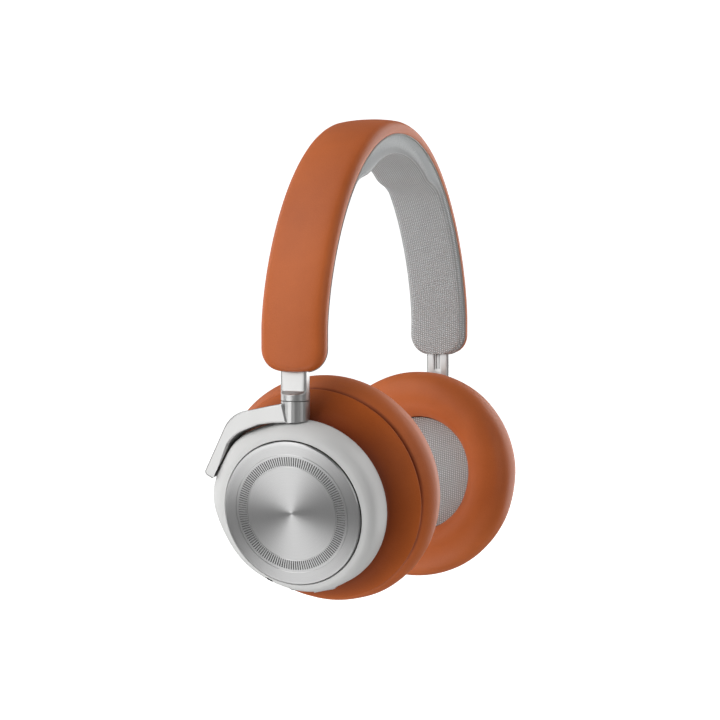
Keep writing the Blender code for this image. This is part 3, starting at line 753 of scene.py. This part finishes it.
def tube_along(name, line, radius):
    rings = []
    for k, point in enumerate(line):
        along = (line[min(k + 1, len(line) - 1)] - line[max(k - 1, 0)]).normalized()
        across = Vector((0, 1, 0)).cross(along).normalized()
        other = along.cross(across)
        rings.append(tube_ring(point, across, other, radius, TUBE_STEPS))
    weave = [[(radius * side, 0.001 * k) for side in range(TUBE_STEPS)] for k in range(len(rings))]
    return loft(name, rings, 60, weave)


def build_headband():
    cover = sweep("headband_leather", cover_section)
    dress(cover, "band_leather", "headband", "cover", "headband_cover")
    pad = sweep("headband_knit_pad", pad_section)
    dress(pad, "band_knit", "headband", "knit", "headband_pad")
    for name, sign in (("front", -1), ("rear", 1)):
        line = edge_line(sign, COVER_DEPTH + PIPING_BEHIND_COVER, PIPING_INSET)
        piping = tube_along(f"headband_piping_{name}", line, PIPING_RADIUS)
        dress(piping, "piping", "headband", "knit")
    half = [neck + gap for neck, gap in zip(NECK_HALF, NECK_WAY_GAP)]
    low = (-half[0], -half[1], -NECK_WAY_BELOW)
    high = (half[0], half[1], NECK_WAY_HEIGHT)
    for side, sign in SIDES.items():
        centre = Vector((sign * abs(JOINTS["right_yoke_swivel"]["pos_m"][0]), 0, BAND_TIP_Z))
        for piece in (cover, pad):
            cut(piece, [block(f"neck_way_{side}", low, high, Matrix.Translation(centre))])


# ---------------------------------------------------------------- sliders


def oval(centre_x, half, squareness, z):
    """A ring between an oval and a rectangle: the higher the squareness, the squarer."""
    ring = []
    for k in range(OVAL_STEPS):
        angle = 2 * math.pi * (k + 0.5) / OVAL_STEPS
        c = math.cos(angle)
        s = math.sin(angle)
        x = centre_x + math.copysign(abs(c) ** (2 / squareness), c) * half[0]
        y = math.copysign(abs(s) ** (2 / squareness), s) * half[1]
        ring.append(Vector((x, y, z)))
    return ring


def build_slider(side, sign):
    """Foot, scooped shoulder, neck with its milled flat, and the bar that runs up into the band."""
    pin = Vector(JOINTS[f"{side}_yoke_swivel"]["pos_m"])
    foot_z = pin.z + FOOT_ABOVE_PIN
    neck_x = sign * NECK_FROM_FOOT
    bar_x = -sign * BAR_FROM_FOOT
    rings = [oval(0, FOOT_EDGE_HALF, FOOT_SQUARENESS, -FOOT_EDGE_HEIGHT)]
    rings.append(oval(0, FOOT_HALF, FOOT_SQUARENESS, 0.0))
    for drop, half_x, squareness in reversed(SHOULDER):
        share = 1 - drop / SHOULDER_DROP
        rings.append(oval(neck_x * share, (half_x, FOOT_HALF[1]), squareness, FOOT_HEIGHT - drop))
    rings.append(oval(neck_x, NECK_HALF, NECK_SQUARENESS, NECK_HEIGHT))
    rings.append(oval(bar_x, BAR_HALF, NECK_SQUARENESS, NECK_HEIGHT + BAR_STEP))
    rings.append(oval(bar_x, BAR_HALF, NECK_SQUARENESS, BAR_HEIGHT))
    slider = loft(f"slider_stem_{side}", rings, 30)
    slider.location = (pin.x, pin.y, foot_z)
    bpy.context.view_layer.update()
    apply_place(slider)
    inner_x = pin.x + neck_x - sign * NECK_HALF[0]
    slot_low = foot_z + FOOT_HEIGHT + SLOT_ABOVE_FOOT
    slot_place = Matrix.Translation(Vector((inner_x, pin.y + NECK_HALF[1] - SLOT_FROM_EDGE, slot_low)))
    groove_x = inner_x - sign * GROOVE_FROM_FACE
    groove_y = pin.y - 0.0001
    cutters = [
        block(
            f"slot_{side}",
            (-SLOT_HALF[0], -SLOT_HALF[1], 0),
            (SLOT_HALF[0], SLOT_HALF[1], SLOT_LENGTH),
            slot_place,
        ),
        rod(
            f"groove_{side}",
            Vector((groove_x, groove_y, slot_low + 0.0004)),
            Vector((groove_x, groove_y, slot_low + SLOT_LENGTH)),
            GROOVE_RADIUS,
        ),
        rod(
            f"pin_bore_{side}",
            Vector((pin.x, pin.y, foot_z - 0.002)),
            Vector((pin.x, pin.y, foot_z + PIN_BORE_LENGTH)),
            PIN_BORE_RADIUS,
        ),
    ]
    cut(slider, cutters)
    soften(slider, SLIDER_ROUNDING, 2, 50)
    slider.data.set_sharp_from_angle(angle=math.radians(30))
    dress(slider, "aluminium", f"slider_{side}", "satin_aluminium", f"slider_{side}")


def apply_place(obj):
    obj.data.transform(obj.matrix_world)
    obj.matrix_world = Matrix()


# ---------------------------------------------------------------- cups


def cup_place(side):
    """The cup's frame: Z runs out of the touch disc and Y up, as the record's mount has them."""
    mount = MOUNTS[f"{side}_disc_face"]
    outward = Vector(mount["axis"]).normalized()
    forward = Vector((0, 0, 1)).cross(outward).normalized()
    up = outward.cross(forward)
    turn = Matrix((forward, up, outward)).transposed().to_4x4()
    return Matrix.Translation(Vector(mount["pos_m"])) @ turn


def side_swell(sign):
    """The rim swells at the rear, round the tilt pin, and flattens low at the rear."""

    def swell(angle):
        from_rear = angle if sign > 0 else math.pi - angle
        total = 0.0
        for bulge in RIM_SWELLS:
            off = math.remainder(from_rear - bulge["at"], 2 * math.pi)
            total += bulge["size"] * math.exp(-((off / bulge["spread"]) ** 2))
        return total

    return swell


def rim_place(sign, degrees, radius, depth):
    """Frame on the rim, in the cup's frame: X runs out of the cup, Y round the rim and Z along its axis."""
    angle = math.radians(degrees)
    direction = Vector((sign * math.cos(angle), math.sin(angle), 0))
    around = Vector((0, 0, 1)).cross(direction)
    turn = Matrix((direction, around, Vector((0, 0, 1)))).transposed().to_4x4()
    return Matrix.Translation(direction * radius - Vector((0, 0, depth))) @ turn


def rim_slot(name, sign, cup, degrees, depth, width, height):
    low = (-RIM_CUT_IN, -width / 2, -height / 2)
    high = (RIM_CUT_OUT, width / 2, height / 2)
    return block(name, low, high, cup @ rim_place(sign, degrees, RIM_CUT_RADIUS, depth))


def build_housing(side, sign, cup):
    """The shell: a recess for the disc, a curve out to the rim, and the openings in the rim."""
    face = [(RECESS_RADIUS, 0.0012), (RECESS_RADIUS + 0.00025, 0.0009)]
    curve = [
        (0.0301, 0.00115, 0.02),
        (0.0314, 0.00180, 0.15),
        (0.0324, 0.00270, 0.33),
        (0.0332, 0.0038, 0.60),
        (0.0338, 0.0052, 0.88),
        (0.0344, 0.0080, 0.98),
        (0.0348, 0.0120, 1.0),
    ]
    back = [
        (RIM_RADIUS, HOUSING_DEPTH - 0.0005, 1.0),
        (0.03485, HOUSING_DEPTH - 0.0001, 1.0),
        (0.0346, HOUSING_DEPTH, 1.0),
    ]
    inside = [
        (RIM_RADIUS - WALL, HOUSING_DEPTH, 1.0),
        (0.0343 - WALL, 0.0064, 0.9),
        (0.0306, FACE_BACK),
        (0, FACE_BACK),
    ]
    outside = [(0, RECESS_FLOOR), (RECESS_RADIUS, RECESS_FLOOR), *face, *curve_through(curve, 3), *back]
    housing = revolve(f"cup_shell_{side}", outside + inside, cup, side_swell(sign))
    bpy.context.view_layer.update()
    apply_place(housing)
    pivot = Vector(JOINTS[f"{side}_cup_tilt"]["pos_m"])
    axis = Vector(JOINTS[f"{side}_cup_tilt"]["axis"]).normalized()
    near, far = [pivot + reach * axis for reach in BUSH_HOLE_REACH]
    cutters = [
        rim_slot(f"mic_slot_{side}", sign, cup, *MIC_SLOT),
        rod(f"bush_hole_{side}", near, far, BUSH_HOLE_RADIUS),
    ]
    for name, opening in RIM_SLOTS[side].items():
        cutters.append(rim_slot(name, sign, cup, *opening))
    if side == "right":
        jack = cup @ rim_place(sign, JACK_DEGREES, JACK_PLACE_RADIUS, CONTROL_DEPTH)
        near, far = [jack @ Vector((reach, 0, 0)) for reach in (-RIM_CUT_IN, RIM_CUT_OUT)]
        cutters.append(rod("jack_opening", near, far, JACK_BORE_RADIUS))
    cut(housing, cutters)
    housing.data.set_sharp_from_angle(angle=math.radians(38))
    dress(housing, "shell", f"cup_{side}", "shell", f"cup_housing_{side}")


def disc_depth(radius, phase):
    """Depth below the disc's face: a line at each edge of the ring of ticks, and the ticks between them."""
    if any(abs(radius - line) < LINE_HALF_WIDTH for line in LINE_RADII):
        return LINE_DEPTH
    return TICK_DEPTH if TICK_INNER <= radius <= TICK_OUTER and phase in TICK_PHASES else 0.0


def build_disc(side, cup):
    """A turned plate with a ring of fine radial ticks cut into it, and blank inside the ring."""
    around = TICKS * TICK_STEPS
    inner_line, outer_line = LINE_RADII
    radii = [0.002, 0.006, 0.010, 0.014, 0.0176, 0.01888, inner_line, 0.01912, 0.01935]
    radii += [TICK_INNER, 0.0205, 0.0217, TICK_OUTER]
    radii += [0.02295, 0.02385, outer_line, 0.02415, 0.0256, 0.0272, 0.0285]
    edge = [(0.0287, 0.00004), (0.02887, 0.00018), (DISC_RADIUS, 0.00040), (DISC_RADIUS, DISC_LIP_DEPTH)]
    edge += [(DISC_SEAT_RADIUS, DISC_LIP_DEPTH), (DISC_SEAT_RADIUS, DISC_THICKNESS)]
    points = [Vector((0, 0, 0))]
    for radius in radii:
        for k in range(around):
            points.append(round_point(radius, -disc_depth(radius, k % TICK_STEPS), k, around))
    for radius, depth in edge:
        points += [round_point(radius, -depth, k, around) for k in range(around)]
    points.append(Vector((0, 0, -DISC_THICKNESS)))
    circles = len(radii) + len(edge)
    faces = fan_faces(circles, around)
    last = 1 + (circles - 1) * around
    faces += [(len(points) - 1, last + (k + 1) % around, last + k) for k in range(around)]
    disc = mesh_object(f"touch_plate_{side}", points, faces, 25)
    disc.matrix_world = cup
    dress(disc, "turned", f"cup_{side}", "turned_aluminium", f"touch_disc_{side}")
    disc.data.materials.append(LOOKS["tick_floor"])
    # Faces well down in a tick take the darker look.
    for face in disc.data.polygons:
        middle = face.center
        radius = math.hypot(middle.x, middle.y)
        if middle.z < -TICK_DEPTH * 0.4 and TICK_INNER - 0.0002 < radius < TICK_OUTER + 0.0002:
            face.material_index = 1


def build_cushion(side, cup):
    """The leather-covered cushion: a skirt behind the seam and a fat roll in front of it."""
    seed = CUSHION_SEEDS[side]
    inner = [(0.0415, 0.0287), (0.0391, 0.0248), (0.0353, 0.0202), (0.0331, 0.0172), (0.0328, 0.0155)]
    skirt_profile = curve_through(SKIRT, 4) + inner
    skirt = revolve(f"cushion_skirt_leather_{side}", skirt_profile, cup, ripple=uneven(*SKIRT_RIPPLE, seed))
    dress(skirt, "skirt_leather", f"cup_{side}", "cushion_leather", f"cushion_skirt_{side}")
    roll_profile = curve_through(ROLL, 4) + [(0.0409, 0.0322), (0.0412, 0.0305)]
    roll = revolve(f"ear_cushion_leather_{side}", roll_profile, cup, ripple=uneven(*ROLL_RIPPLE, seed + 2))
    dress(roll, "cushion_leather", f"cup_{side}", "cushion_leather", f"ear_cushion_{side}")


def build_driver_cloth(side, cup):
    """Knit stretched over the driver's guard, slightly crowned."""
    rings = 14
    around = range(CLOTH_STEPS)
    points = [Vector((0, 0, -CLOTH_DEPTH))]
    for level in range(1, rings + 1):
        radius = CLOTH_RADIUS * level / rings
        depth = CLOTH_DEPTH - CLOTH_CROWN * (radius / CLOTH_RADIUS) ** 2
        points += [round_point(radius, -depth, k, CLOTH_STEPS) for k in around]
    rim = len(points)
    points += [round_point(CLOTH_RADIUS, -CLOTH_BACK_DEPTH, k, CLOTH_STEPS) for k in around]
    faces = fan_faces(rings + 1, CLOTH_STEPS)
    faces.append(tuple(rim + k for k in around))
    weave = [(point.x, point.y) for point in points]
    cloth = mesh_object(f"driver_knit_{side}", points, faces, 40, weave)
    cloth.matrix_world = cup
    dress(cloth, "driver_knit", f"cup_{side}", "knit", f"driver_cloth_{side}")


# ---------------------------------------------------------------- carried-over CAD nodes

CARRIED = {
    "yoke_arm": "aluminium",
    "swivel_pin": "steel",
    "swivel_washer": "acetal",
    "swivel_bush": "bronze",
    "tilt_pin": "steel",
    "tilt_bush": "acetal",
    "mic_mesh": "black",
    "disc_gasket": "rubber",
    "cup_chassis": "black",
    "driver_frame": "black",
    "driver_magnet": "steel",
    "voice_coil": "copper",
    "diaphragm": "black",
    "driver_guard": "black",
    "circuit_board": "board",
    "cushion_ring": "black",
    "slider_guide": "black",
    "headband_spring": "steel",
    "headband_frame": "black",
    "power_switch": "control",
    "listening_button": "control",
    "assistant_button": "control",
    "usb_socket": "steel",
    "jack_socket": "black",
    "battery": "foil",
}


def paint_carried_nodes():
    for name, node in frame["nodes"].items():
        stem = name.removesuffix("_right").removesuffix("_left")
        if stem not in CARRIED:
            continue
        node.data.materials.clear()
        node.data.materials.append(LOOKS[CARRIED[stem]])


# ---------------------------------------------------------------- camera, light and stage

VIEW_TARGET = Vector((-0.0160, 0.0, -0.0884))
VIEW_AZIMUTH = math.radians(-67.57)
VIEW_ELEVATION = math.radians(2.83)
VIEW_DISTANCE = 0.7773
LENS = 90.58


def towards(azimuth, elevation):
    """Unit vector from the target to a viewer at that azimuth (0 looks along +Y) and elevation."""
    flat = math.cos(elevation)
    return Vector((math.sin(azimuth) * flat, -math.cos(azimuth) * flat, math.sin(elevation)))


def build_camera():
    data = bpy.data.cameras.new("camera")
    data.lens = LENS
    data.sensor_width = 36
    data.clip_start = 0.01
    camera = bpy.data.objects.new("camera", data)
    bpy.context.collection.objects.link(camera)
    back = towards(VIEW_AZIMUTH, VIEW_ELEVATION)
    camera.location = VIEW_TARGET + back * VIEW_DISTANCE
    camera.rotation_euler = back.to_track_quat("Z", "Y").to_euler()
    bpy.context.scene.camera = camera


def softbox(name, azimuth, elevation, distance, size, brightness):
    """A soft light aimed at the object. Azimuth is in degrees to the camera's right, seen from above."""
    data = bpy.data.lights.new(name, "AREA")
    data.shape = "RECTANGLE"
    data.size = size[0]
    data.size_y = size[1]
    data.energy = brightness * math.pi * size[0] * size[1]
    light = bpy.data.objects.new(name, data)
    bpy.context.collection.objects.link(light)
    direction = towards(VIEW_AZIMUTH + math.radians(azimuth), math.radians(elevation))
    light.location = VIEW_TARGET + direction * distance
    light.rotation_euler = direction.to_track_quat("Z", "Y").to_euler()
    light.visible_camera = False


def build_lights():
    softbox("key_strip", -50, 18, 0.9, (0.55, 1.50), 1.75)
    softbox("left_back", -118, 10, 1.1, (1.0, 1.2), 1.2)
    softbox("right_side", 130, 8, 1.1, (0.9, 1.3), 2.5)
    softbox("right_front", 48, 18, 1.2, (0.5, 1.0), 1.15)
    softbox("floor_bounce", -38, -62, 0.9, (0.9, 0.9), 1.45)
    softbox("top", -74, 62, 1.0, (0.8, 0.7), 1.0)
    world = bpy.data.worlds.new("studio")
    world.use_nodes = True
    background = world.node_tree.nodes["Background"]
    background.inputs["Color"].default_value = (1.0, 1.0, 1.0, 1.0)
    background.inputs["Strength"].default_value = 0.23
    bpy.context.scene.world = world
    view = bpy.context.scene.view_settings
    view.view_transform = "Standard"
    view.look = "None"


def build_stage():
    """A pale sweep: a floor that curves up into a wall behind the object, all round."""
    floor_z = -0.235
    flat = 1.4
    bend = 0.6
    wall_top = 4.0
    profile = []
    for angle in (0, 0.3, 0.6, 0.9, 1.2, 1.57):
        profile.append((flat + bend * math.sin(angle), floor_z + bend - bend * math.cos(angle)))
    profile.append((flat + bend, wall_top))
    points = [Vector((0, 0, floor_z))]
    for radius, height in profile:
        points += [round_point(radius, height, k, STAGE_STEPS) for k in range(STAGE_STEPS)]
    mesh = bpy.data.meshes.new("sweep")
    mesh.from_pydata([tuple(point) for point in points], [], fan_faces(len(profile), STAGE_STEPS))
    mesh.shade_smooth()
    sweep_object = bpy.data.objects.new("sweep", mesh)
    bpy.context.collection.objects.link(sweep_object)
    # Only the camera sees it: it lights nothing, shows in no reflection and casts no shadow.
    sweep_object.visible_diffuse = False
    sweep_object.visible_glossy = False
    sweep_object.visible_transmission = False
    sweep_object.visible_shadow = False
    pale = bpy.data.materials.new("pale_sweep")
    pale.use_nodes = True
    tree = pale.node_tree
    shader = tree.nodes["Principled BSDF"]
    shader.inputs["Base Color"].default_value = (0.5, 0.5, 0.5, 1.0)
    shader.inputs["Roughness"].default_value = 0.9
    shader.inputs["Emission Color"].default_value = (1.0, 1.0, 1.0, 1.0)
    shader.inputs["Emission Strength"].default_value = 1.0
    mesh.materials.append(pale)


# ---------------------------------------------------------------- everything

LOOKS = make_materials()
build_camera()
build_lights()
build_stage()
build_headband()
for side_name, side_sign in SIDES.items():
    place = cup_place(side_name)
    build_slider(side_name, side_sign)
    build_housing(side_name, side_sign, place)
    build_disc(side_name, place)
    build_cushion(side_name, place)
    build_driver_cloth(side_name, place)
paint_carried_nodes()
